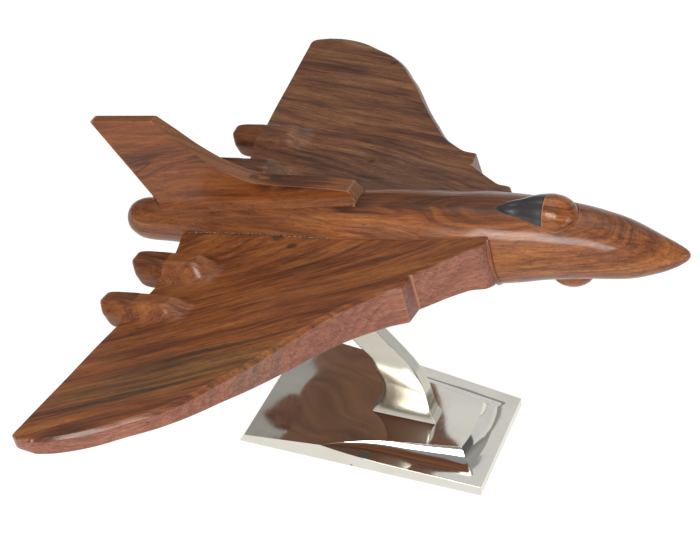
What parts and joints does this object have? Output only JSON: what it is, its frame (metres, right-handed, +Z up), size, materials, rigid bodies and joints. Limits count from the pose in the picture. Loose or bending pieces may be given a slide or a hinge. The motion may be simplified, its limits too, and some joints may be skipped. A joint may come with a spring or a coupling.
{
  "type": "desk aircraft model on a stand",
  "caption": "Carved-wood delta-wing jet aircraft model that swivels on the leaning arm of a polished, wedge-shaped metal desk stand.",
  "frame": {"origin": "centre of the felt pad's underside, on the surface the stand rests on", "axes": "+X towards the aircraft's nose, +Y towards its left wing tip, +Z up"},
  "size_m": [0.4741, 0.5562, 0.2641],
  "materials": {
    "fuselage_wood": "dark rosewood, semi-gloss lacquer",
    "wing_wood": "dark rosewood with darker streaks, semi-gloss lacquer",
    "fin_wood": "reddish rosewood, semi-gloss lacquer",
    "stained_wood": "black stain under gloss lacquer",
    "dowel_wood": "plain, glued",
    "polished_aluminium": "mirror polished casting",
    "steel": "zinc plated",
    "brass": "machined",
    "leather": "plain",
    "felt": "felt"
  },
  "bodies": {
    "stand": {"base_casting": "polished_aluminium", "base_felt": "felt", "pylon_arm": "polished_aluminium", "arm_bolt_front": "steel", "arm_bolt_rear": "steel", "arm_washer_front": "steel", "arm_washer_rear": "steel", "pivot_stud": "steel", "swivel_washer": "leather"},
    "aircraft": {"fuselage": "fuselage_wood", "left_wing": "wing_wood", "right_wing": "wing_wood", "left_inner_nacelle": "wing_wood", "left_outer_nacelle": "wing_wood", "right_inner_nacelle": "wing_wood", "right_outer_nacelle": "wing_wood", "tail_fin": "fin_wood", "canopy_rear": "stained_wood", "canopy_dome": "fuselage_wood", "nose_blister": "fuselage_wood", "pivot_insert": "brass", "left_wing_dowel_front": "dowel_wood", "left_wing_dowel_rear": "dowel_wood", "right_wing_dowel_front": "dowel_wood", "right_wing_dowel_rear": "dowel_wood", "fin_dowel_front": "dowel_wood", "fin_dowel_rear": "dowel_wood"}
  },
  "joints": [
    {"name": "aircraft_swivel", "type": "hinge", "parent": "stand", "child": "aircraft", "pos_m": [-0.07943, 0, 0.15308], "axis": [-0.1973, 0, 0.9803], "continuous": true}
  ]
}
